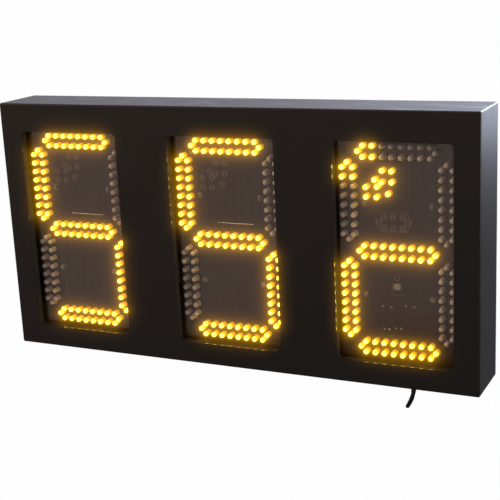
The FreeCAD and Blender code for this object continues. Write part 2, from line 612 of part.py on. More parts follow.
def rounded_run(points, radii):
    """A wire of straight runs joined by tangent arcs of the given radii."""
    edges = []
    last = points[0]
    for before, here, after, radius in zip(points, points[1:], points[2:], radii):
        back = (before - here).normalize()
        ahead = (after - here).normalize()
        half = math.acos(max(-1, min(1, back.dot(ahead)))) / 2
        step = radius / math.tan(half)
        start, stop = here + back * step, here + ahead * step
        middle = here + (back + ahead).normalize() * (radius / math.sin(half) - radius)
        if (start - last).Length > 1e-4:
            edges.append(Part.LineSegment(last, start).toShape())
        edges.append(Part.Arc(start, middle, stop).toShape())
        last = stop
    edges.append(Part.LineSegment(last, points[-1]).toShape())
    return Part.Wire(edges)


def vectors(route):
    return [FreeCAD.Vector(value(x), value(y), value(z)) for x, y, z in route]


def tube(points, radii, radius):
    """A round solid along a route of straight runs and tangent arcs."""
    wire = rounded_run(points, radii)
    section = Part.Wire(Part.Circle(points[0], points[1] - points[0], radius).toShape())
    return wire.makePipe(Part.Face(section))


def make_ribbons():
    """Flat cables from the digit boards' headers, over the rails, to the controller's."""
    thick, wide, bend = value("ribbon_thick"), value("ribbon_w"), value("ribbon_bend")
    over = f"({CONTROL_BACK} + ribbon_rise)"
    for side in SIDES:
        (x0, z0), (x1, z1) = HEADERS[side], CONTROL_HEADERS[side]
        route = [(x0, f"{BOARD_BACK} + ribbon_seat", z0), (x0, over, z0), (x1, over, z1),
                 (x1, f"{CONTROL_BACK} + ribbon_seat", z1)]
        points = vectors(route)
        wire = rounded_run(points, [bend, bend])
        corner = points[0] + FreeCAD.Vector(-thick / 2, 0, -wide / 2)
        steps = [FreeCAD.Vector(thick, 0, 0), FreeCAD.Vector(0, 0, wide)]
        ring = [corner, corner + steps[0], corner + steps[0] + steps[1], corner + steps[1], corner]
        made("ribbon_" + side, wire.makePipe(Part.Face(Part.makePolygon(ring))))


# ---- mounting rails ------------------------------------------------------------------------

def make_mounting_rails():
    """Two hat-section rails whose crowns lie on the mounting plane, with slots across."""
    for name, way in (("left", -1), ("right", 1)):
        x = f"({way} * mount_x / 2)"
        foot = PANEL_BACK
        half = [(f"{x} + {way} * ({a})", y) for a, y in (
            ("-crown_half - flange_w", foot), ("-crown_half + hat_thick", foot),
            ("-crown_half + hat_thick", "-hat_thick"), ("crown_half - hat_thick", "-hat_thick"),
            ("crown_half - hat_thick", foot), ("crown_half + flange_w", foot),
            ("crown_half + flange_w", f"{foot} + hat_thick"), ("crown_half", f"{foot} + hat_thick"),
            ("crown_half", "0"), ("-crown_half", "0"), ("-crown_half", f"{foot} + hat_thick"),
            ("-crown_half - flange_w", f"{foot} + hat_thick"))]
        hat = prism(f"hat_{name}", "XY", "-hat_high / 2", "hat_high", [half])
        tools = []
        for n, up in enumerate((-1, 1)):
            z = f"{up} * mount_z / 2"
            run = "(slot_long / 2 - slot_rad)"
            tools.append(box(f"slot_{name}_{n}", (f"{x} - {run}", "-2 * hat_thick", f"{z} - slot_rad"),
                             (f"2 * {run}", "3 * hat_thick", "2 * slot_rad")))
            tools += [rod(f"slot_{name}_{n}_end_{m}", (f"{x} + {m} * {run}", "-2 * hat_thick", z), "Y",
                          "slot_rad", "3 * hat_thick") for m in (-1, 1)]
        tools += [rod(f"hat_{name}_hole_{n}", (fx, f"{foot} - hat_thick", fz), "Y",
                      "flange_screw_rad + hole_gap", "3 * hat_thick")
                  for n, (fx, fz) in enumerate(FLANGE_SCREWS) if value(fx) * way > 0]
        keep("mounting_rail_" + name, cut(f"mounting_rail_{name}_cut", hat, *tools))
    master = screw("flange_screw", "flange_screw_rad", "hat_thick + wall + 5", "flange_head_rad",
                   "flange_head_thick")
    group("mounting_rail_screws", master,
          [(x, f"{PANEL_BACK} + hat_thick", z) for x, z in FLANGE_SCREWS])


# ---- door ----------------------------------------------------------------------------------

def make_door():
    """A pan with folded lips, two latch holes and rivet holes for its hinge leaves."""
    low_x, high_x = "(opening_left - door_lap)", "(opening_right + door_lap)"
    half = "(opening_half + door_lap)"
    pan = rounded("door_pan_block", box("door_block", (low_x, DOOR_LIP, f"-{half}"),
                  (f"{high_x} - {low_x}", "door_pan", f"2 * {half}")), "corner", along("Y"))
    hollow = box("door_hollow", (f"{low_x} + wall", f"{DOOR_LIP} - wall", f"-{half} + wall"),
                 (f"{high_x} - {low_x} - 2 * wall", "door_pan", f"2 * {half} - 2 * wall"))
    holes = [rod(f"door_latch_hole_{name}", (LATCH_X, f"{DOOR_FACE} - wall", z), "Y",
                 "barrel_rad + hole_gap", "3 * wall") for name, z in LATCH_PLACES.items()]
    holes += [rod(f"door_rivet_hole_{n}", (f"{HINGE_X} + door_rivet", f"{DOOR_FACE} - wall", z), "Y",
                  "rivet_rad", "3 * wall") for n, z in enumerate(RIVET_PLACES)]
    keep("door", cut("door_cut", pan, hollow, *holes))
    rings = [rectangle(f"{low_x} + {inset}", f"-{half} + {inset}", f"{high_x} - {inset}",
                       f"{half} - {inset}") for inset in ("(wall + 0.5)", "(wall + 0.5 + seal_wide)")]
    keep("door_seal", prism("door_seal_body", "XZ", f"{DOOR_LIP} - 0.2",
                            f"{DOOR_FACE} - {DOOR_LIP} + 0.2", rings))


def make_hinges():
    """Two riveted hinges; the fixed leaf has the outer knuckles and the door the middle one."""
    third = "(hinge_long / 3)"
    before, across = f"{HINGE_X} - knuckle_clear", "2 * knuckle_clear"
    fixed, moving, pins = [], [], []
    for n, z in enumerate(HINGE_PLACES):
        base = f"({z} - hinge_long / 2)"

        def knuckle(name, start, radius, length):
            return rod(f"{name}_{n}", (HINGE_X, HINGE_Y, start), "Z", radius, length)

        def clearing(name, start, length):
            """Room beside a leaf for the other leaf's knuckle."""
            return box(f"{name}_{n}", (before, f"{PANEL_BACK} - 1", start), (across, "12", length))

        def rivet_holes(name, x, y):
            return [rod(f"{name}_{n}_{m}", (x, f"{y} - 1", f"{z} + {way} * rivet_apart"), "Y",
                        "rivet_rad", "2 * leaf_thick + 1") for m, way in enumerate((-1, 1))]

        leaf = box(f"fixed_leaf_{n}", (f"{HINGE_X} - fixed_leaf", PANEL_BACK, base),
                   ("fixed_leaf", "leaf_thick", "hinge_long"))
        ends = [knuckle("low_knuckle", base, "hinge_rad", third),
                knuckle("high_knuckle", f"{base} + 2 * {third}", "hinge_rad", third)]
        fixed.append(cut(
            f"fixed_hinge_{n}", fuse(f"fixed_sum_{n}", leaf, *ends),
            clearing("middle_room", f"{base} + {third} - knuckle_gap", f"{third} + 2 * knuckle_gap"),
            knuckle("fixed_bore", f"{base} - 1", "hinge_pin_rad", "hinge_long + 2"),
            *rivet_holes("fixed_hole", f"{HINGE_X} - fixed_rivet", PANEL_BACK)))
        leaf = box(f"door_leaf_{n}", (HINGE_X, DOOR_BACK, base), ("leaf_reach", "leaf_thick", "hinge_long"))
        rooms = [clearing("low_room", f"{base} - knuckle_gap", f"{third} + knuckle_gap"),
                 clearing("high_room", f"{base} + 2 * {third}", f"{third} + knuckle_gap")]
        middle = knuckle("middle_knuckle", f"{base} + {third}", "hinge_rad", third)
        moving.append(cut(
            f"door_hinge_{n}", fuse(f"door_sum_{n}", cut(f"door_leaf_cut_{n}", leaf, *rooms), middle),
            knuckle("door_bore", f"{base} - 1", "hinge_pin_rad + running", "hinge_long + 2"),
            *rivet_holes("door_hole", f"{HINGE_X} + door_rivet", DOOR_BACK)))
        pins.append(knuckle("hinge_pin", base, "hinge_pin_rad", "hinge_long"))
    for label, things in (("hinge_leaves", fixed), ("door_hinge_leaves", moving), ("hinge_pins", pins)):
        group(label, things, [("0", "0", "0")])
    grip = "(leaf_thick + wall)"
    rivet = lathe("rivet", [
        ("0", f"-{grip} - 1"), ("rivet_tail_rad", f"-{grip} - 1"), ("rivet_tail_rad", f"-{grip}"),
        ("rivet_rad", f"-{grip}"), ("rivet_rad", "0"), ("rivet_head_rad", "0"),
        ("rivet_head_rad - 0.8", "1"), ("0", "1")])
    group("hinge_rivets", rivet, [(f"{HINGE_X} - fixed_rivet", f"{PANEL_BACK} + leaf_thick", z)
                                  for z in RIVET_PLACES])
    group("door_rivets", rivet, [(f"{HINGE_X} + door_rivet", f"{DOOR_BACK} + leaf_thick", z)
                                 for z in RIVET_PLACES])


def make_latches():
    """Quarter-turn latches: a housing and nut on the door, and a rotor that carries the cam."""
    cam_back = f"({CABINET_BACK} - cam_gap)"
    cam_front = f"({cam_back} - cam_thick)"
    inner_end = f"({cam_back} + 0.3)"
    housing = lathe("latch_housing", [
        ("rotor_rad + running", f"{inner_end} - {DOOR_BACK}"), ("barrel_rad", f"{inner_end} - {DOOR_BACK}"),
        ("barrel_rad", "0"), ("bezel_rad", "0"), ("bezel_rad", "bezel_thick - 1"),
        ("bezel_rad - 1", "bezel_thick"), ("rotor_rad + running", "bezel_thick")])
    group("latch_housings", housing, [(LATCH_X, DOOR_BACK, z) for z in LATCH_PLACES.values()])
    nut = prism("latch_nut", "XZ", f"{DOOR_FACE} - latch_nut_thick", "latch_nut_thick",
                [hexagon("latch_nut_rad")], [("0", "0", "barrel_rad")])
    group("latch_nuts", nut, [(LATCH_X, "0", z) for z in LATCH_PLACES.values()])
    face = f"({DOOR_BACK} + bezel_thick - 0.5)"
    rotor = lathe("latch_rotor", [
        ("0", f"{cam_front} - bolt_thick"), ("bolt_rad", f"{cam_front} - bolt_thick"),
        ("bolt_rad", cam_front), ("stub_rad", cam_front), ("stub_rad", cam_back),
        ("rotor_rad", cam_back), ("rotor_rad", face), ("0", face)])
    slot = box("rotor_slot", ("-1", f"{face} - 2", "-5"), ("2", "3", "10"))
    rotor = cut("latch_rotor_slotted", rotor, slot)
    cam_outline = [("-cam_half", "-cam_half"), ("cam_half", "-cam_half"), ("cam_half", "cam_long - 3"),
                   ("cam_half - 3", "cam_long"), ("3 - cam_half", "cam_long"), ("-cam_half", "cam_long - 3")]
    cam = prism("latch_cam", "XZ", cam_front, "cam_thick", [cam_outline], [("0", "0", "stub_rad")])
    for name, z in LATCH_PLACES.items():
        group(f"latch_{name}_rotor", rotor, [(LATCH_X, "0", z)])
        group(f"latch_{name}_cam", cam, [(LATCH_X, "0", z)])


# ---- gland and supply lead -----------------------------------------------------------------

def make_gland():
    """A small cable gland through the floor of the cabinet, with its seal and inner nut."""
    place = [("gland_x", "gland_y", "0")]
    thread, top = "gland_thread_rad", f"({GLAND_FLANGE} + gland_flange_thick)"
    profile = [("lead_rad", GLAND_MOUTH), ("lead_rad + 1.8", GLAND_MOUTH), (thread, f"{GLAND_MOUTH} + 3"),
               ("gland_hex_rad - 1", f"{GLAND_MOUTH} + 4.5"), ("gland_hex_rad - 1", GLAND_FLANGE),
               ("gland_hex_rad", GLAND_FLANGE), ("gland_hex_rad", top), (thread, top),
               (thread, GLAND_TOP), ("lead_rad", GLAND_TOP)]
    group("gland_body", lathe("gland_master", profile, "Z"), place)
    seal = rectangle(thread, f"{FLOOR} - gland_seal_thick", "gland_hex_rad", FLOOR)
    group("gland_seal", lathe("seal_master", seal, "Z"), place)
    nut = prism("gland_nut_master", "XY", f"{FLOOR} + wall", "gland_nut_thick",
                [hexagon("gland_nut_rad")], [("0", "0", thread)])
    group("gland_nut", nut, place)


def cord_radii(points):
    """Each arc is as large as its two runs allow; the radii are printed to be read."""
    radii = []
    for before, here, after in zip(points, points[1:], points[2:]):
        turn = (here - before).getAngle(after - here)
        run = min((here - before).Length, (after - here).Length)
        radii.append(0.45 * run / math.tan(turn / 2))
    print("radii", [round(radius, 1) for radius in radii])
    return radii


def make_lead():
    """The free lead, its coil as one ring, the tie and peg that hold the coil, and the plug."""
    coil = doc.addObject("Part::Torus", "coil")
    coil.Placement = FreeCAD.Placement(FreeCAD.Vector(), FreeCAD.Rotation(FreeCAD.Vector(1, 0, 0), 90))
    bind(coil, Radius1="coil_rad", Radius2="coil_thick_rad", Placement__Base__x="coil_x",
         Placement__Base__y="coil_y", Placement__Base__z="coil_z")
    keep("lead_coil", coil)
    doc.recompute()
    section = math.pi * value("lead_rad") ** 2
    for label, route in (("lead", LEAD_ROUTE), ("lead_tail", TAIL_ROUTE)):
        points = vectors(route)
        radii = cord_radii(points)
        whole = tube(points, radii, value("lead_rad"))
        length = rounded_run(points, radii).Length
        print(label, "length", length, "volume ratio", whole.Volume / (length * section))
        made(label, whole.cut(coil.Shape))
    around = "(coil_thick_rad + tie_gap)"
    tie = lathe("tie_master", rectangle(around, "-tie_wide / 2", f"{around} + tie_thick", "tie_wide / 2"),
                "Z")
    group("coil_tie", tie, [("coil_x - coil_rad", "coil_y", "coil_z")])
    peg = lathe("peg_master", [
        ("0", f"{CABINET_BACK} - 4"), ("peg_stub_rad", f"{CABINET_BACK} - 4"),
        ("peg_stub_rad", PANEL_BACK), ("peg_rad", PANEL_BACK), ("peg_rad", "-5"),
        ("peg_head_rad", "-5"), ("peg_head_rad", "-3.5"), ("peg_head_rad - 0.7", "-2.8"), ("0", "-2.8")])
    group("coil_peg", peg, [("coil_x", "0", PEG_Z)])
    body = lathe("plug_master", [
        ("lead_rad", "0"), ("lead_rad + 0.4", "0"), ("lead_rad + 1.1", "2 - plug_boot_long"),
        ("plug_rad", "-plug_boot_long"), ("plug_rad", "1 - plug_long"), ("plug_rad - 0.6", "-plug_long"),
        ("0", "-plug_long"), ("0", "-3"), ("lead_rad", "-3")], "Z")
    group("lead_plug", body, [PLUG_PLACE])
    barrel = lathe("barrel_master", rectangle("contact_bore", "-plug_long - contact_long", "contact_rad",
                                              "-plug_long"), "Z")
    group("lead_plug_barrel", barrel, [PLUG_PLACE])


def make_inner_lead():
    """The lead inside the cabinet, from the gland along the floor and up to the terminal."""
    run_z = "-104"
    end_x, end_y = f"({TERMINAL_X} + terminal_pitch / 2)", f"({CONTROL_BACK} + terminal_deep / 2)"
    route = [("gland_x", "gland_y", GLAND_TOP), ("gland_x", "gland_y", run_z), (end_x, end_y, run_z),
             (end_x, end_y, f"{TERMINAL_Z} + 5")]
    bends = [12.0, 14.0]
    made("inner_lead", tube(vectors(route), bends, value("lead_rad")))


make_steps = [make_shell, make_rear_panel, make_panel_screws, make_panes, make_diodes, make_boards,
              make_board_parts, make_cross_rails, make_rail_brackets, make_controller, make_ribbons,
              make_mounting_rails, make_door, make_hinges, make_latches, make_gland, make_lead,
              make_inner_lead]
for step in make_steps:
    step()
work.clear("A1")
doc.recompute()

failed = [thing.Label for thing in doc.Objects if "Invalid" in thing.State or "Error" in thing.State]
failed += [label for label, thing in pieces.items() if thing.Shape.isNull() or not thing.Shape.isValid()]
if failed:
    raise RuntimeError(f"these objects failed: {failed}")
for label, thing in pieces.items():
    thing.Shape.exportStep(f"parts/{label}.step")
    print(f"{label:22s} {len(thing.Shape.Solids):4d} solids {thing.Shape.Volume:12.1f} mm3")
print(len(pieces), "sub-parts")
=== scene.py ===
import json
import math

import bmesh
import bpy
import numpy as np
from mathutils import Matrix, Vector


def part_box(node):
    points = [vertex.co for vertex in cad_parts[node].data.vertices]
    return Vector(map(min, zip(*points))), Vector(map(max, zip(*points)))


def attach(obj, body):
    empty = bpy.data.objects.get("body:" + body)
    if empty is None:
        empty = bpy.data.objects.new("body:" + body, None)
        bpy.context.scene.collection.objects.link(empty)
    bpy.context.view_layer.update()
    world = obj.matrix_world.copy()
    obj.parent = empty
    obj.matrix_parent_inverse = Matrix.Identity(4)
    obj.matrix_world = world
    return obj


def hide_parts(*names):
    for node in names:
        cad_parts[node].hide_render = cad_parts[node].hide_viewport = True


# Looks of a three-digit LED number sign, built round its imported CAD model.
# Metres, in the model's own frame: X to the viewer's right, Z up, and the front looks along -Y.

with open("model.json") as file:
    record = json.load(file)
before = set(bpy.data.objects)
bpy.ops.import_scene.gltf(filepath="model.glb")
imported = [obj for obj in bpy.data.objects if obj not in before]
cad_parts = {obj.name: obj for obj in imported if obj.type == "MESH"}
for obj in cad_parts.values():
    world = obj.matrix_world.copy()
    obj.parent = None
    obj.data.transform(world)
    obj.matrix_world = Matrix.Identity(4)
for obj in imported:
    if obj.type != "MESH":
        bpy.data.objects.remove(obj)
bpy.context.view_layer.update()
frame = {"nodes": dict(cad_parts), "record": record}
nodes = frame["nodes"]

MM = 0.001
DIGIT_X = {"left": -171 * MM, "middle": 0.0, "right": 171 * MM}
DIGIT_Z = -3.4 * MM
WINDOW_HALF_WIDE = 57.2 * MM
WINDOW_HALF_HIGH = 105.2 * MM
BODY = "cabinet"
SHELL_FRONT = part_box("front_shell")[0].y
BOARD_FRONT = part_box("board_left")[0].y
BOARD_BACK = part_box("board_left")[1].y
LED_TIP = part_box("lit_leds_left")[0].y


# ---- camera, stage and light ---------------------------------------------------------------

CAMERA_PLACE = (0.4902, -1.0347, 0.2730)
CAMERA_DEGREES = (75.13, 2.68, 25.23)
CAMERA_LENS = 82.08
PALE = (0.99, 0.99, 0.99)
FLOOR_HALF = 30.0
FLOOR_HEIGHT = -1.0


def make_camera():
    data = bpy.data.cameras.new("camera")
    data.sensor_width = 36.0
    data.lens = CAMERA_LENS
    data.clip_start = 0.05
    data.clip_end = 50.0
    camera = bpy.data.objects.new("camera", data)
    camera.location = CAMERA_PLACE
    camera.rotation_euler = [math.radians(angle) for angle in CAMERA_DEGREES]
    bpy.context.scene.collection.objects.link(camera)
    bpy.context.scene.camera = camera


def new_object(name, mesh, material=None):
    thing = bpy.data.objects.new(name, mesh)
    bpy.context.scene.collection.objects.link(thing)
    if material:
        thing.data.materials.append(material)
    return thing


def make_floor():
    """A pale floor a metre below, which lights nothing but itself."""
    material = bpy.data.materials.new("pale_floor")
    material.use_nodes = True
    tree = material.node_tree
    tree.nodes.clear()
    glow = tree.nodes.new("ShaderNodeEmission")
    glow.inputs["Color"].default_value = (*PALE, 1)
    output = tree.nodes.new("ShaderNodeOutputMaterial")
    tree.links.new(glow.outputs[0], output.inputs["Surface"])
    mesh = bpy.data.meshes.new("floor")
    corners = [(x * FLOOR_HALF, y * FLOOR_HALF, FLOOR_HEIGHT)
               for x, y in ((-1, -1), (1, -1), (1, 1), (-1, 1))]
    mesh.from_pydata(corners, [], [(0, 1, 2, 3)])
    floor = new_object("floor", mesh, material)
    floor.visible_glossy = False
    floor.visible_diffuse = False
    floor.visible_transmission = False


# The room's light, as (place from 0 to 1, colour): by height before and behind the sign, the
# dulling of the sky behind from left to right, and the change from before (0) to behind (1).
AHEAD = [(0.0, (0.03, 0.03, 0.03)), (0.325, (0.05, 0.045, 0.04)), (0.345, (0.34, 0.29, 0.26)),
         (0.46, (0.42, 0.36, 0.33)), (0.60, (0.10, 0.09, 0.09)), (1.0, (0.45, 0.47, 0.5))]
BEHIND = [(0.0, (0.05, 0.05, 0.05)), (0.36, (0.10, 0.10, 0.11)), (0.385, (0.12, 0.12, 0.135)),
          (0.404, (0.20, 0.21, 0.24)), (0.4115, (0.33, 0.35, 0.40)), (0.427, (1.5, 1.65, 2.0)),
          (0.45, (2.2, 2.4, 2.9)), (0.60, (1.25, 1.32, 1.6)), (1.0, (0.9, 0.95, 1.1))]
DULLING = [(0.2, (0.31, 0.27, 0.25)), (0.31, (0.35, 0.32, 0.31)), (0.40, (1.20, 1.22, 1.30)),
           (0.5, (1, 1, 1))]
BEFORE_TO_BEHIND = [(0.42, (0, 0, 0)), (0.58, (1, 1, 1))]


def make_world():
    """Pale to look at; it lights the sign as a dim room that is open to the sky at the back."""
    world = bpy.data.worlds.new("room")
    bpy.context.scene.world = world
    world.use_nodes = True
    tree = world.node_tree
    tree.nodes.clear()
    new, link = tree.nodes.new, tree.links.new

    def ramp(source, stops):
        node = new("ShaderNodeValToRGB")
        while len(node.color_ramp.elements) < len(stops):
            node.color_ramp.elements.new(0.5)
        for element, (at, colour) in zip(node.color_ramp.elements, stops):
            element.position = at
            element.color = (*colour, 1)
        link(source, node.inputs[0])
        return node.outputs[0]

    def lifted(source):
        """From -1..1 to 0..1."""
        node = new("ShaderNodeMapRange")
        node.inputs["From Min"].default_value = -1
        link(source, node.inputs["Value"])
        return node.outputs[0]

    def colour_mix(one, two, blend="MIX"):
        node = new("ShaderNodeMix")
        node.data_type = "RGBA"
        node.blend_type = blend
        node.inputs["Factor"].default_value = 1.0
        link(one, node.inputs[6])
        link(two, node.inputs[7])
        return node

    place = new("ShaderNodeTexCoord")
    parts = new("ShaderNodeSeparateXYZ")
    link(place.outputs["Generated"], parts.inputs[0])
    height = lifted(parts.outputs["Z"])
    dulling = ramp(lifted(parts.outputs["X"]), DULLING)
    sky = colour_mix(ramp(height, BEHIND), dulling, "MULTIPLY")
    room = colour_mix(ramp(height, AHEAD), sky.outputs[2])
    link(ramp(lifted(parts.outputs["Y"]), BEFORE_TO_BEHIND), room.inputs["Factor"])
    light = new("ShaderNodeBackground")
    link(room.outputs[2], light.inputs["Color"])
    pale = new("ShaderNodeBackground")
    pale.inputs["Color"].default_value = (*PALE, 1)
    path = new("ShaderNodeLightPath")
    either = new("ShaderNodeMixShader")
    link(path.outputs["Is Camera Ray"], either.inputs[0])
    link(light.outputs[0], either.inputs[1])
    link(pale.outputs[0], either.inputs[2])
    link(either.outputs[0], new("ShaderNodeOutputWorld").inputs["Surface"])


# Name: place, aim, size, watts and colour. The bend panel is for the cabinet's top right bend.
LIGHTS = {
    "sky_panel": ((0.6, 1.2, 1.6), (0, 0, 0), (2.0, 1.2), 9, (0.86, 0.92, 1.0)),
    "edge_panel": ((1.5, -0.05, 0.03), (0.25, -0.05, 0), (0.5, 0.34), 2.5, (0.9, 0.95, 1.0)),
    "bend_panel": ((0.45, 1.59, 0.51), (0.236, -0.04, 0.13), (0.5, 0.4), 11, (0.92, 0.96, 1.0)),
    "front_fill": ((-1.0, -1.3, 0.8), (-0.2, 0, 0), (0.9, 0.7), 4.5, (1.0, 0.66, 0.42)),
}


def area_light(name, place, aim, size, watts, colour):
    data = bpy.data.lights.new(name, "AREA")
    data.shape = "RECTANGLE"
    data.size, data.size_y = size
    data.energy = watts
    data.color = colour
    light = bpy.data.objects.new(name, data)
    light.location = place
    light.rotation_euler = (Vector(aim) - Vector(place)).to_track_quat("-Z", "Y").to_euler()
    light.visible_camera = False
    bpy.context.scene.collection.objects.link(light)


def make_lights():
    for name, values in LIGHTS.items():
        area_light(name, *values)


# ---- materials -----------------------------------------------------------------------------

class Recipe:
    """A Principled material whose sockets take numbers, colours or the outputs of its nodes."""

    def __init__(self, name):
        self.material = bpy.data.materials.new(name)
        self.material.use_nodes = True
        self.tree = self.material.node_tree
        self.tree.nodes.clear()
        self.output = self.tree.nodes.new("ShaderNodeOutputMaterial")
        self.shader = self.tree.nodes.new("ShaderNodeBsdfPrincipled")
        self.tree.links.new(self.shader.outputs[0], self.output.inputs["Surface"])
        self.place = self.tree.nodes.new("ShaderNodeTexCoord").outputs["Object"]

    def put(self, socket, value):
        if isinstance(value, bpy.types.NodeSocket):
            self.tree.links.new(value, socket)
        elif isinstance(value, tuple) and len(value) == 3 and socket.type == "RGBA":
            socket.default_value = (*value, 1)
        else:
            socket.default_value = value

    def set(self, **sockets):
        for name, value in sockets.items():
            self.put(self.shader.inputs[name.replace("_", " ")], value)
        return self

    def node(self, kind, **sockets):
        node = self.tree.nodes.new("ShaderNode" + kind)
        for name, value in sockets.items():
            self.put(node.inputs[name.replace("_", " ")], value)
        return node

    def math(self, operation, a, b=0.0):
        node = self.node("Math")
        node.operation = operation
        self.put(node.inputs[0], a)
        self.put(node.inputs[1], b)
        return node.outputs[0]

    def stretched(self, scale):
        """The piece's coordinates, scaled by a different number along each axis."""
        node = self.node("VectorMath")
        node.operation = "MULTIPLY"
        self.put(node.inputs[0], self.place)
        node.inputs[1].default_value = scale
        return node.outputs[0]

    def noise(self, scale, detail=3.0, roughness=0.55, vector=None):
        node = self.node("TexNoise", Vector=vector or self.place, Scale=scale, Detail=detail,
                         Roughness=roughness)
        return node.outputs["Fac"]

    def between(self, factor, low, high, start=0.0, stop=1.0):
        """low to high as factor goes from start to stop."""
        node = self.node("MapRange", Value=factor)
        for name, value in (("From Min", start), ("From Max", stop),
                            ("To Min", low), ("To Max", high)):
            node.inputs[name].default_value = value
        return node.outputs[0]

    def mix(self, factor, a, b):
        """Colour a to colour b as factor goes from 0 to 1."""
        node = self.node("Mix")
        node.data_type = "RGBA"
        self.put(node.inputs["Factor"], factor)
        self.put(node.inputs[6], a)
        self.put(node.inputs[7], b)
        return node.outputs[2]

    def bump(self, height, depth, strength=1.0, under=None):
        """depth is the height's full swing, in metres."""
        node = self.node("Bump", Height=height, Distance=depth, Strength=strength)
        if under:
            self.put(node.inputs["Normal"], under)
        return node.outputs[0]

    def facing(self, axis):
        """The surface's own normal along one axis, from -1 to 1."""
        normal = self.node("NewGeometry").outputs["Normal"]
        return self.node("SeparateXYZ", Vector=normal).outputs[axis]

    def along(self, axis):
        return self.node("SeparateXYZ", Vector=self.place).outputs[axis]

    def islands(self):
        """A random number for each loose part of the mesh."""
        return self.node("NewGeometry").outputs["Random Per Island"]

    def number(self, factor, a, b):
        """Number a to number b as factor goes from 0 to 1."""
        node = self.node("Mix")
        for place, value in ((0, factor), (2, a), (3, b)):
            self.put(node.inputs[place], value)
        return node.outputs[0]

    def band(self, near, far):
        """1 between two depths behind the front, in mm, and 0 elsewhere."""
        y = self.along("Y")
        return self.math("MULTIPLY", self.math("GREATER_THAN", y, SHELL_FRONT + near * MM),
                         self.math("LESS_THAN", y, SHELL_FRONT + far * MM))

    def within_windows(self):
        """1 inside the three window openings seen from the front, 0 outside them."""
        x, z = self.along("X"), self.along("Z")
        found = 0.0
        for middle in DIGIT_X.values():
            off_x = self.math("ABSOLUTE", self.math("SUBTRACT", x, middle))
            off_z = self.math("ABSOLUTE", self.math("SUBTRACT", z, DIGIT_Z))
            one = self.math("MULTIPLY", self.math("LESS_THAN", off_x, WINDOW_HALF_WIDE),
                            self.math("LESS_THAN", off_z, WINDOW_HALF_HIGH))
            found = self.math("ADD", found, one)
        return found


# Depths behind the cabinet's front, in mm: the worn edge round each window, and its return.
WORN_EDGE = (0.05, 0.9)
WINDOW_RETURN = (0.9, 7.9)


def powder_coat():
    """Near-black powder coat: fine grain, faint cloudiness, dusty where it faces up, and painted light
    on the window returns that face +X.
    """
    m = Recipe("powder_coat")
    cloud = m.between(m.noise(7.0, 4.0), 0.0, 1.0, 0.35, 0.65)
    base = m.mix(cloud, (0.0140, 0.0102, 0.0082), (0.0190, 0.0142, 0.0114))
    streak = m.noise(1.0, 5.0, 0.6, m.stretched((16.0, 40.0, 16.0)))
    # The windows' folded returns are dull, but for the worn edge round each opening; those that face
    # +X are also made paler, as painted light on their lit side.
    windows = m.within_windows()
    returns = m.math("MULTIPLY", windows, m.band(*WINDOW_RETURN))
    edge = m.math("MULTIPLY", windows, m.band(*WORN_EDGE))
    outside = m.math("SUBTRACT", 1.0, windows)
    upward = m.math("MULTIPLY", outside, m.between(m.facing("Z"), 0.0, 1.0, 0.75, 0.98))
    # Painted light: the window returns that face +X are made paler, as if lit.
    lit_side_painted_light = m.between(m.facing("X"), 0.0, 0.2, 0.5, 0.9)
    # Real dust on upward faces outside the windows, and painted light on the returns that face +X.
    dust_and_painted_light = m.math("ADD", m.math("MULTIPLY", upward, m.between(streak, 0.25, 0.95, 0.38, 0.66)),
                  m.math("MULTIPLY", lit_side_painted_light, returns))
    m.set(Base_Color=m.mix(dust_and_painted_light, base, (0.20, 0.19, 0.20)))
    sideways = m.between(m.math("ABSOLUTE", m.facing("X")), 0.0, 1.0, 0.5, 0.9)
    cloudy = m.noise(34.0, 4.0)
    rough = m.number(sideways, m.between(cloudy, 0.40, 0.50, 0.3, 0.7),
                     m.between(cloudy, 0.22, 0.27, 0.3, 0.7))
    rough = m.number(upward, rough, m.between(streak, 0.24, 0.66, 0.36, 0.66))
    m.set(Roughness=m.number(edge, m.number(returns, rough, 0.9), 0.08))
    grain = m.noise(850.0, 2.0)
    wave = m.noise(160.0, 2.0)
    m.set(Normal=m.bump(grain, 0.035 * MM, 0.7, m.bump(wave, 0.03 * MM, 0.8)))
    return m.material


def acrylic():
    m = Recipe("acrylic")
    m.set(Base_Color=(0.95, 0.93, 0.92), Transmission_Weight=1.0, IOR=1.49)
    m.set(Roughness=m.between(m.noise(60.0), 0.0, 0.03, 0.4, 0.7))
    return m.material


def lit_resin():
    """Amber resin with its chip's light in it: pale yellow at the tip, dim amber at the foot."""
    m = Recipe("lit_resin")
    y = m.along("Y")
    tip = m.math("POWER", m.between(y, 1.0, 0.0, LED_TIP + 0.3 * MM, LED_TIP + 3.2 * MM), 3.0)
    barrel = m.between(y, 0.95, 0.25, LED_TIP + 2.5 * MM, LED_TIP + 6.5 * MM)
    batch = m.between(m.islands(), 0.9, 1.1)
    m.set(Base_Color=(0.9, 0.45, 0.05), Roughness=0.2, IOR=1.5)
    m.set(Emission_Color=m.mix(tip, (1.0, 0.64, 0.020), (1.0, 0.70, 0.040)))
    m.set(Emission_Strength=m.math("MULTIPLY", batch, m.number(tip, barrel, 15.0)))
    return m.material


def dark_resin():
    """Milky resin with no light in it: paler towards the tip, partly for the pale reflector cup under
    it and partly as a painted highlight.
    """
    m = Recipe("dark_resin")
    # Partly painted highlight: the resin is paler towards its tip, beside the reflector cup's own pale
    # tone.
    tip = m.between(m.along("Y"), 1.0, 0.0, LED_TIP + 0.8 * MM, LED_TIP + 5.0 * MM)
    batch = m.between(m.islands(), 0.85, 1.0)
    cup_and_painted_highlight = m.mix(tip, (0.72, 0.61, 0.57), (0.98, 0.91, 0.88))
    m.set(Base_Color=m.mix(batch, (0.05, 0.042, 0.038), cup_and_painted_highlight))
    m.set(Roughness=m.between(m.noise(300.0), 0.16, 0.26), IOR=1.45)
    return m.material


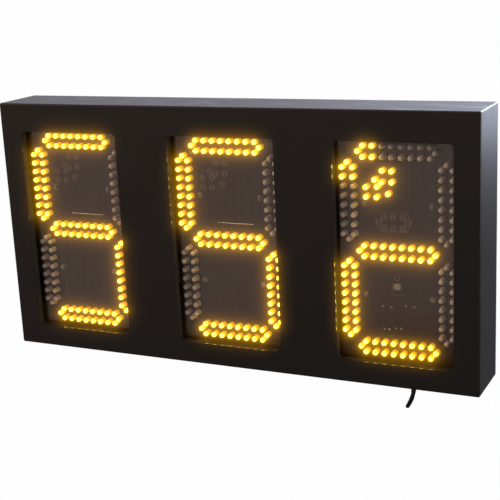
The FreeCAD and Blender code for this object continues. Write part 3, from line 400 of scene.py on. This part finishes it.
def solder_mask():
    """Dark glossy solder mask: copper tracks just show through it, as ridges and a paler brown."""
    m = Recipe("solder_mask")
    tracks = m.node("TexBrick", Vector=m.stretched((1.0, 1.0, 1.0)), Scale=55.0, Mortar_Size=0.012)
    m.put(tracks.inputs["Color1"], (0.0, 0.0, 0.0))
    m.put(tracks.inputs["Color2"], (0.12, 0.12, 0.12))
    m.put(tracks.inputs["Mortar"], (1.0, 1.0, 1.0))
    cloud = m.noise(12.0, 3.0)
    base = m.mix(cloud, (0.052, 0.029, 0.020), (0.074, 0.043, 0.030))
    m.set(Base_Color=m.mix(tracks.outputs["Color"], base, (0.105, 0.067, 0.048)))
    m.set(Roughness=m.between(m.noise(90.0), 0.07, 0.12, 0.35, 0.65), IOR=1.55)
    m.set(Normal=m.bump(m.noise(420.0, 2.0), 0.004 * MM, 0.5))
    return m.material


def plated(name, colour, rough, brushed=None):
    """Bare or plated metal; brushed is the scale of its grain along each axis, if it has one."""
    m = Recipe(name)
    grain = m.noise(1.0, 4.0, 0.6, m.stretched(brushed)) if brushed else m.noise(300.0, 3.0)
    blotch = m.noise(45.0, 4.0)
    dull = tuple(0.72 * part for part in colour)
    m.set(Base_Color=m.mix(m.between(blotch, 0.0, 1.0, 0.3, 0.75), dull, colour), Metallic=1.0)
    m.set(Roughness=m.between(grain, rough - 0.08, rough + 0.1, 0.3, 0.7))
    m.set(Normal=m.bump(grain, 0.01 * MM, 0.6))
    return m.material


def spangled():
    """Galvanised sheet: zinc crystals a few millimetres across."""
    m = Recipe("galvanised")
    cells = m.node("TexVoronoi", Vector=m.place, Scale=190.0)
    tone = m.node("SeparateColor", Color=cells.outputs["Color"]).outputs[0]
    m.set(Base_Color=m.mix(tone, (0.40, 0.41, 0.42), (0.62, 0.63, 0.64)), Metallic=1.0)
    m.set(Roughness=m.between(tone, 0.34, 0.52))
    m.set(Normal=m.bump(m.noise(500.0), 0.012 * MM, 0.6))
    return m.material


def moulded(name, colour, rough=0.45, speck=0.25, grain=600.0):
    """Moulded plastic or rubber: a faint mottle and a fine grain."""
    m = Recipe(name)
    light = tuple(part * (1 + speck) for part in colour)
    m.set(Base_Color=m.mix(m.noise(70.0, 4.0), colour, light))
    m.set(Roughness=m.between(m.noise(140.0), rough - 0.06, rough + 0.08, 0.35, 0.65))
    m.set(Normal=m.bump(m.noise(grain, 2.0), 0.015 * MM, 0.7))
    return m.material


def ribbon():
    """Grey flat cable: sixteen ribs across its width, with painted shade in the grooves between them.
    """
    m = Recipe("ribbon")
    wave = m.node("TexWave", Vector=m.place, Scale=157.0)
    wave.bands_direction = "Z"
    ribs = wave.outputs["Fac"]
    # Painted shade: darker colour in the grooves between the ribs, paler on their crests.
    m.set(Base_Color=m.mix(ribs, (0.22, 0.22, 0.23), (0.42, 0.42, 0.43)), Roughness=0.5)
    m.set(Normal=m.bump(ribs, 0.15 * MM))
    return m.material


def make_materials():
    return {
        "cabinet_paint": powder_coat(),
        "clear_acrylic": acrylic(),
        "lit_diode": lit_resin(),
        "dark_diode": dark_resin(),
        "circuit_board": solder_mask(),
        "zinc_steel": plated("bright_zinc", (0.68, 0.69, 0.72), 0.30),
        "hinge_steel": plated("stainless", (0.56, 0.55, 0.54), 0.32, (900.0, 900.0, 40.0)),
        "galvanised": spangled(),
        "latch_zinc": plated("bright_plate", (0.75, 0.75, 0.77), 0.16),
        "plug_metal": plated("nickel", (0.78, 0.76, 0.72), 0.14),
        "black_rubber": moulded("black_rubber", (0.018, 0.018, 0.018), 0.72, 0.4, 900.0),
        "white_nylon": moulded("white_nylon", (0.74, 0.74, 0.70), 0.42, 0.06),
        "chip_plastic": moulded("chip_epoxy", (0.022, 0.022, 0.024), 0.5, 0.3, 1500.0),
        "component_mix": moulded("component", (0.05, 0.05, 0.06), 0.4, 0.3),
        "terminal_green": moulded("terminal_green", (0.03, 0.22, 0.08), 0.35, 0.15),
        "grey_ribbon": ribbon(),
        "gland_nylon": moulded("gland_nylon", (0.024, 0.024, 0.026), 0.42, 0.3, 700.0),
        "lead_sheath": moulded("lead_sheath", (0.012, 0.012, 0.013), 0.36, 0.3, 500.0),
        "tie_nylon": moulded("tie_nylon", (0.020, 0.020, 0.021), 0.38, 0.3),
        "silkscreen": moulded("silkscreen", (0.26, 0.21, 0.19), 0.6, 0.2),
        "tinned": plated("tinned_copper", (0.70, 0.67, 0.62), 0.22),
        "bare_pad": plated("bare_pad", (0.42, 0.35, 0.30), 0.45),
        "ceramic": moulded("ceramic", (0.46, 0.42, 0.38), 0.4, 0.2),
    }


def dress_nodes(materials):
    """Each CAD node takes the material of the slot that the record gives it."""
    for entry in frame["record"]["subparts"]:
        slots = nodes[entry["node"]].data.materials
        slots.clear()
        slots.append(materials[entry["material_slot"]])


# ---- supply lead ---------------------------------------------------------------------------

LEAD_ROUTE = [
    (0.176, -0.043, -0.1458), (0.176, -0.043, -0.1535), (0.1724, -0.0424, -0.1615),
    (0.1678, -0.0368, -0.1685), (0.1655, -0.0276, -0.1716), (0.1658, -0.0182, -0.1685),
    (0.1676, -0.0126, -0.161), (0.1684, -0.012, -0.1515), (0.168, -0.0128, -0.137),
    (0.1662, -0.0122, -0.114), (0.1618, -0.0129, -0.085)]
TAIL_ROUTE = [(0.1155, -0.0125, -0.074), (0.117, -0.0125, -0.093), (0.1165, -0.0125, -0.108)]
LEAD_DIAMETER = 0.004
COIL_CENTRE = Vector((0.138, -0.0125, -0.054))
COIL_RADIUS = 0.022
COIL_TURNS = 7.5
COIL_LAYERS = 8
STEPS_PER_TURN = 16
# Eight turns a diameter apart round the coil's own section.
SECTION_RADIUS = 1.03 * LEAD_DIAMETER / (2 * math.sin(math.pi / COIL_LAYERS))


def coil_points():
    """Control points of the turns, which advance one place round the section at each turn."""
    outward = 1 / math.cos(math.pi / STEPS_PER_TURN)
    points = []
    for step in range(int(COIL_TURNS * STEPS_PER_TURN) + 1):
        turn = step / STEPS_PER_TURN
        angle = 2 * math.pi * turn
        place = 2 * math.pi * turn / COIL_LAYERS
        radius = (COIL_RADIUS + SECTION_RADIUS * math.cos(place)) * outward
        points.append(COIL_CENTRE + Vector((radius * math.cos(angle), SECTION_RADIUS * math.sin(place),
                                            radius * math.sin(angle))))
    return points


def make_lead(material):
    points = LEAD_ROUTE + coil_points() + TAIL_ROUTE
    curve = bpy.data.curves.new("supply_lead", "CURVE")
    curve.dimensions = "3D"
    curve.bevel_depth = LEAD_DIAMETER / 2
    curve.bevel_resolution = 5
    curve.resolution_u = 6
    curve.use_fill_caps = True
    spline = curve.splines.new("NURBS")
    spline.points.add(len(points) - 1)
    for point, place in zip(spline.points, points):
        point.co = (*place, 1.0)
    spline.order_u = 3
    spline.use_endpoint_u = True
    lead = new_object("supply_lead", curve, material)
    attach(lead, "cabinet")
    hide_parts("lead", "lead_coil", "lead_tail")


# ---- small pieces --------------------------------------------------------------------------

def finish_piece(name, shape, material, slot, *replaced):
    """Turns a bmesh into a piece that rides on the cabinet, in place of the nodes in replaced."""
    shape.normal_update()
    mesh = bpy.data.meshes.new(name)
    shape.to_mesh(mesh)
    shape.free()
    piece = new_object(name, mesh, material)
    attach(piece, BODY)
    if replaced:
        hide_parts(*replaced)
    return piece


def frame_to(place, way):
    """Moves a shape that is built along local -Y: way 1 keeps it so, and -1 turns it about."""
    turn = Matrix.Rotation(math.pi, 4, "Z") if way < 0 else Matrix.Identity(4)
    return Matrix.Translation(place) @ turn


def add_lathe(shape, profile, segments, matrix):
    """A turned form from (radius, y) corners, about the local Y axis; a radius of 0 closes it."""
    rings = []
    for radius, y in profile:
        if radius == 0:
            rings.append([shape.verts.new(matrix @ Vector((0, y, 0)))])
            continue
        ring = []
        for n in range(segments):
            angle = 2 * math.pi * n / segments
            ring.append(shape.verts.new(matrix @ Vector((radius * math.cos(angle), y,
                                                         radius * math.sin(angle)))))
        rings.append(ring)
    for one, two in zip(rings, rings[1:]):
        for n in range(segments):
            after = (n + 1) % segments
            corners = (one[n % len(one)], one[after % len(one)],
                       two[after % len(two)], two[n % len(two)])
            unique = list(dict.fromkeys(corners))
            if len(unique) > 2:
                shape.faces.new(unique)
    return rings


def add_slab(shape, low, high, bevel=0.0):
    """A box from corner to corner; with a bevel, its edges are rounded off."""
    verts = [shape.verts.new((x, y, z)) for x in (low[0], high[0]) for y in (low[1], high[1])
             for z in (low[2], high[2])]
    sides = [(0, 1, 3, 2), (4, 6, 7, 5), (0, 4, 5, 1), (2, 3, 7, 6), (0, 2, 6, 4), (1, 5, 7, 3)]
    faces = [shape.faces.new([verts[n] for n in side]) for side in sides]
    if bevel:
        edges = list({edge for face in faces for edge in face.edges})
        bmesh.ops.bevel(shape, geom=edges, offset=bevel, segments=2, affect="EDGES", profile=0.5)


# Shape of a screw's head, as shares of its radius and of its thickness.
HEAD_FLAT = 0.62
HEAD_RIM = 0.35
CROSS_HALF_WIDE = 0.15
CROSS_REACH = 0.52
CROSS_DEPTH = 0.55
CROSS_TAPER = 0.7


def add_cross_screw(shape, place, way, head, thick, shank, long):
    """A pan-head screw with a cross recess. Its seat is at place; way 1 turns its head to -Y."""
    matrix = frame_to(place, way)
    flat = HEAD_FLAT * head
    dome = [(flat + (head - flat) * math.cos(angle),
             -thick * (HEAD_RIM + (1 - HEAD_RIM) * math.sin(angle)))
            for angle in [math.radians(15 * n) for n in range(6)]]
    stem = [(0, long), (shank * 0.8, long), (shank, long - shank * 0.4), (shank, 0), (head, 0)]
    rim = add_lathe(shape, stem + dome + [(flat, -thick)], 32, matrix)[-1]
    arm, reach, deep = CROSS_HALF_WIDE * head, CROSS_REACH * head, CROSS_DEPTH * thick
    outline = [(arm, arm), (arm, reach), (-arm, reach), (-arm, arm), (-reach, arm), (-reach, -arm),
               (-arm, -arm), (-arm, -reach), (arm, -reach), (arm, -arm), (reach, -arm), (reach, arm)]
    upper = [shape.verts.new(matrix @ Vector((x, -thick, z))) for x, z in outline]
    lower = [shape.verts.new(matrix @ Vector((CROSS_TAPER * x, deep - thick, CROSS_TAPER * z)))
             for x, z in outline]
    count = len(outline)
    loop = [shape.edges.new((upper[n], upper[(n + 1) % count])) for n in range(count)]
    loop += [shape.edges.get((rim[n], rim[(n + 1) % len(rim)])) for n in range(len(rim))]
    bmesh.ops.triangle_fill(shape, use_beauty=True, use_dissolve=False, edges=loop,
                            normal=matrix.to_3x3() @ Vector((0, -1, 0)))
    for n in range(count):
        after = (n + 1) % count
        shape.faces.new((upper[n], upper[after], lower[after], lower[n]))
    shape.faces.new(lower)


def tidy_normals(shape):
    bmesh.ops.recalc_face_normals(shape, faces=shape.faces[:])


def islands_of(node):
    """The lowest and highest corners of each loose part of a node."""
    mesh = nodes[node].data
    places = np.empty(len(mesh.vertices) * 3)
    mesh.vertices.foreach_get("co", places)
    places = places.reshape(-1, 3)
    edges = np.empty(len(mesh.edges) * 2, dtype=np.int64)
    mesh.edges.foreach_get("vertices", edges)
    one, two = edges.reshape(-1, 2).T
    label = np.arange(len(places))
    while True:
        least = np.minimum(label[one], label[two])
        fresh = label.copy()
        np.minimum.at(fresh, one, least)
        np.minimum.at(fresh, two, least)
        fresh = fresh[fresh]
        if (fresh == label).all():
            break
        label = fresh
    found = []
    for root in np.unique(label):
        part = places[label == root]
        found.append((Vector(part.min(axis=0)), Vector(part.max(axis=0))))
    return found


# Which way each group's heads look (1 is the front), then the head's radius and thickness and the
# shank's radius, in mm.
SCREWS = {
    "panel_screws": (-1, 3.8, 2.4, 2.0),
    "mounting_rail_screws": (-1, 4.4, 3.2, 2.5),
    "board_screws": (1, 2.4, 2.2, 1.5),
}


def make_screws(materials):
    """Cross-recessed screws for the plain ones of the CAD, each in its own place."""
    for node, (way, *sizes) in SCREWS.items():
        head, thick, shank = [size * MM for size in sizes]
        shape = bmesh.new()
        for low, high in islands_of(node):
            middle = (low + high) / 2
            seat = low.y + thick if way > 0 else high.y - thick
            long = (high.y - low.y) - thick
            add_cross_screw(shape, Vector((middle.x, seat, middle.z)), way, head, thick, shank, long)
        tidy_normals(shape)
        finish_piece(node + "_crossed", shape, materials["zinc_steel"], "zinc_steel", node)


# Half the distance between a diode's two leads, in mm, and solder as (radius, height) in mm: the
# fillet round a lead behind the board, and a bead on its front.
HALF_LEADS = 1.27
FILLET = [(0, 1.7), (0.28, 1.7), (0.30, 1.0), (0.42, 0.55), (0.62, 0.28), (1.0, 0.0), (0, 0.0)]
BEAD = [(0, 0.8), (0.5, 0.7), (0.9, 0.35), (1.1, 0.0), (0, 0.0)]


def outwards(profile):
    """A (radius, height) profile in mm, as the (radius, y) corners that add_lathe takes."""
    return [(radius * MM, -height * MM) for radius, height in profile]


def make_solder_joints(materials):
    """Two fillets of solder, each round a clipped lead, behind every diode."""
    shape = bmesh.new()
    for side in DIGIT_X:
        for low, high in islands_of("lit_leds_" + side) + islands_of("dark_leds_" + side):
            middle = (low + high) / 2
            for off in (-HALF_LEADS, HALF_LEADS):
                place = (middle.x + off * MM, BOARD_BACK, middle.z)
                add_lathe(shape, outwards(FILLET), 8, frame_to(place, -1))
    tidy_normals(shape)
    finish_piece("solder_joints", shape, materials["tinned"], "zinc_steel")


# Thickness of print and of bare copper on a board, in mm.
PRINT = 0.06
COPPER = 0.04


def add_ring(shape, x, z, outer, inner, thick=PRINT):
    """A flat ring of print or copper on the front of a board; its radii are in mm."""
    profile = [(outer, 0), (outer, thick), (inner, thick), (inner, 0), (outer, 0)]
    add_lathe(shape, outwards(profile), 24, Matrix.Translation((x, BOARD_FRONT, z)))


def add_line(shape, start, stop, wide=0.35):
    """A straight printed line between two (x, z) points on the front of a board."""
    start, stop = Vector((start[0], 0, start[1])), Vector((stop[0], 0, stop[1]))
    run = stop - start
    across = Vector((-run.z, 0, run.x)).normalized() * wide * MM / 2
    along = run.normalized() * wide * MM / 2
    corners = [start - along - across, stop + along - across,
               stop + along + across, start - along + across]
    lower, upper = [[shape.verts.new((corner.x, y, corner.z)) for corner in corners]
                    for y in (BOARD_FRONT, BOARD_FRONT - PRINT * MM)]
    shape.faces.new(upper)
    for n in range(4):
        after = (n + 1) % 4
        shape.faces.new((upper[n], upper[after], lower[after], lower[n]))
    shape.faces.new(lower)


# Places on a digit board, in mm from the digit's centre.
RING_SPOTS = [(-4.2, 76.0), (-4.2, 65.8), (-13.2, 76.2), (-14.0, 65.3), (-20.4, 67.6), (-7.7, 54.9),
              (-28.8, 51.4), (-18.6, 51.4), (-29.0, 60.4), (-18.1, 61.2)]
DOT_SPOTS = [(-14.0, 32.0), (-5.0, 32.0), (4.0, 32.0), (-14.0, 21.8), (-5.0, 21.8), (4.0, 21.8),
             (-18.8, 27.2), (8.8, 27.2)]
DOT_OUTLINE = [(-21.5, 36.3), (8.0, 36.3), (12.6, 27.4), (8.0, 18.6), (-18.0, 18.6), (-22.0, 27.2)]
BEAD_SPOTS = [(-16.3, -54.2), (-7.8, -54.4), (6.1, -52.1), (14.3, -52.3), (-15.0, -76.4),
              (-10.4, -76.4), (-3.7, -74.9), (1.2, -74.7)]
SCREW_SPOTS = [(x, z) for x in (-32.0, 32.0) for z in (-43.5, 43.5)]
LINK_X = (-14.2, 24.5)
LINK_Z = 16.8
# The square part: its place, half its sides and its thickness, then its tinned ends' offset, half
# width, thickness and half height.
SQUARE_SPOT = (-2.0, -34.0)
SQUARE_HALF = (2.6, 2.9)
SQUARE_THICK = 1.4
SQUARE_END = (3.1, 0.5, 0.9, 2.0)


def add_square_part(marks, tin, parts, at):
    """A square part between two tinned ends, with a printed ring above it and lines round it."""
    spot_x, spot_z = SQUARE_SPOT
    add_ring(marks, *at(spot_x, spot_z + 8.2), 2.6, 2.0)
    add_line(marks, at(spot_x - 5.5, spot_z - 8.0), at(spot_x + 6.0, spot_z - 8.0), 0.6)
    x, z = at(spot_x, spot_z)
    half_x, half_z = [half * MM for half in SQUARE_HALF]
    add_slab(parts, (x - half_x, BOARD_FRONT - SQUARE_THICK * MM, z - half_z),
             (x + half_x, BOARD_FRONT, z + half_z), 0.2 * MM)
    off, half_wide, thick, half_high = SQUARE_END
    for way in (-1, 1):
        low_x, high_x = x + (way * off - half_wide) * MM, x + (way * off + half_wide) * MM
        add_slab(tin, (low_x, BOARD_FRONT - thick * MM, z - half_high * MM),
                 (high_x, BOARD_FRONT, z + half_high * MM), 0.1 * MM)
        line_x = spot_x + way * 4.4
        add_line(marks, at(line_x, spot_z - 4.0), at(line_x, spot_z + 4.0), 0.5)


def make_board_print(materials):
    """Printed outlines, bare pads, solder and the few parts on the front of each digit board."""
    for side, middle in DIGIT_X.items():
        marks, bare, tin, parts = [bmesh.new() for _ in range(4)]

        def at(x, z):
            return middle + x * MM, DIGIT_Z + z * MM

        for x, z in DOT_SPOTS if side == "right" else RING_SPOTS:
            add_ring(marks, *at(x, z), 3.0, 2.35)
            for off in (-HALF_LEADS, HALF_LEADS):
                add_ring(bare, *at(x + off, z), 0.75, 0.3, COPPER)
        for spot in SCREW_SPOTS:
            add_ring(bare, *at(*spot), 3.2, 2.5, COPPER)
        if side == "right":
            for start, stop in zip(DOT_OUTLINE, DOT_OUTLINE[1:] + DOT_OUTLINE[:1]):
                add_line(marks, at(*start), at(*stop))
            # Dull beads of solder have the same pale look as the square part.
            for spot in BEAD_SPOTS:
                x, z = at(*spot)
                add_lathe(parts, outwards(BEAD), 12, Matrix.Translation((x, BOARD_FRONT, z)))
            add_square_part(marks, tin, parts, at)
        else:
            # A bare wire link lies just above the middle bar.
            (x0, z0), (x1, _) = [at(x, LINK_Z) for x in LINK_X]
            add_slab(tin, (x0, BOARD_FRONT - 1.0 * MM, z0 - 0.4 * MM),
                     (x1, BOARD_FRONT - 0.2 * MM, z0 + 0.4 * MM), 0.2 * MM)
        for name, shape, look, slot in (("print", marks, "silkscreen", "circuit_board"),
                                        ("bare_pads", bare, "bare_pad", "circuit_board"),
                                        ("tinned_parts", tin, "tinned", "zinc_steel"),
                                        ("parts", parts, "ceramic", "component_mix")):
            if shape.faces:
                tidy_normals(shape)
                finish_piece(f"board_{name}_{side}", shape, materials[look], slot)


# A chip's leg, in mm: how far its bend and its toe stand out, how high its shoulder is off the
# board, its thickness and half its width.
LEGS_PER_SIDE = 8
LEG_BEND = 0.5
LEG_TOE = 1.3
LEG_TOP = 0.95
LEG_THICK = 0.2
LEG_HALF = 0.2


def make_chip_legs(materials):
    """Gull-wing legs down both long sides of every driver chip: shoulder, foot and riser."""
    shape = bmesh.new()
    for low, high in islands_of("driver_chips"):
        for n in range(LEGS_PER_SIDE):
            x = low.x + (n + 0.5) * (high.x - low.x) / LEGS_PER_SIDE
            for edge, way in ((low.z, -1), (high.z, 1)):
                bend, toe = edge + way * LEG_BEND * MM, edge + way * LEG_TOE * MM
                riser = bend + way * LEG_THICK * MM
                for z0, z1, y0, y1 in ((edge, bend, LEG_TOP - LEG_THICK, LEG_TOP),
                                       (bend, toe, 0.0, LEG_THICK), (bend, riser, 0.0, LEG_TOP)):
                    add_slab(shape, (x - LEG_HALF * MM, BOARD_BACK + y0 * MM, min(z0, z1)),
                             (x + LEG_HALF * MM, BOARD_BACK + y1 * MM, max(z0, z1)))
    finish_piece("chip_legs", shape, materials["tinned"], "zinc_steel")


# The tie's ratchet head and clipped end, in mm: two corners, with x from the band's outer side and
# y and z from its middle, and the bevel.
TIE_HEAD = ((-3.4, -2.3, -2.9), (0.5, 2.3, 2.9), 0.5)
TIE_END = ((-2.2, -5.4, -1.9), (-1.2, -2.0, 1.9), 0.2)


def make_tie_head(materials):
    """The ratchet head and clipped end of the cable tie round the coil."""
    low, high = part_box("coil_tie")
    middle = (low + high) / 2
    origin = Vector((low.x, middle.y, middle.z))
    shape = bmesh.new()
    for near, far, bevel in (TIE_HEAD, TIE_END):
        add_slab(shape, origin + Vector(near) * MM, origin + Vector(far) * MM, bevel * MM)
    finish_piece("coil_tie_head", shape, materials["tie_nylon"], "tie_nylon")


BLOOM = {"Threshold": 1.4, "Smoothness": 0.2, "Strength": 0.8, "Size": 0.045,
         "Tint": (1.0, 0.70, 0.06, 1.0)}


def make_glow():
    """The camera's own bloom round the brightest diodes."""
    scene = bpy.context.scene
    scene.use_nodes = True
    tree = scene.node_tree
    tree.nodes.clear()
    layers = tree.nodes.new("CompositorNodeRLayers")
    glare = tree.nodes.new("CompositorNodeGlare")
    glare.glare_type = "BLOOM"
    glare.quality = "HIGH"
    for name, value in BLOOM.items():
        glare.inputs[name].default_value = value
    output = tree.nodes.new("CompositorNodeComposite")
    tree.links.new(layers.outputs["Image"], glare.inputs["Image"])
    tree.links.new(glare.outputs["Image"], output.inputs["Image"])


make_camera()
make_world()
make_floor()
make_lights()
materials = make_materials()
dress_nodes(materials)
make_lead(materials["lead_sheath"])
make_screws(materials)
make_solder_joints(materials)
make_board_print(materials)
make_chip_legs(materials)
make_tie_head(materials)
make_glow()

# Clear panes let the light through unweakened.
for side in DIGIT_X:
    nodes["pane_" + side].visible_shadow = False

bpy.context.scene.view_settings.view_transform = "Standard"
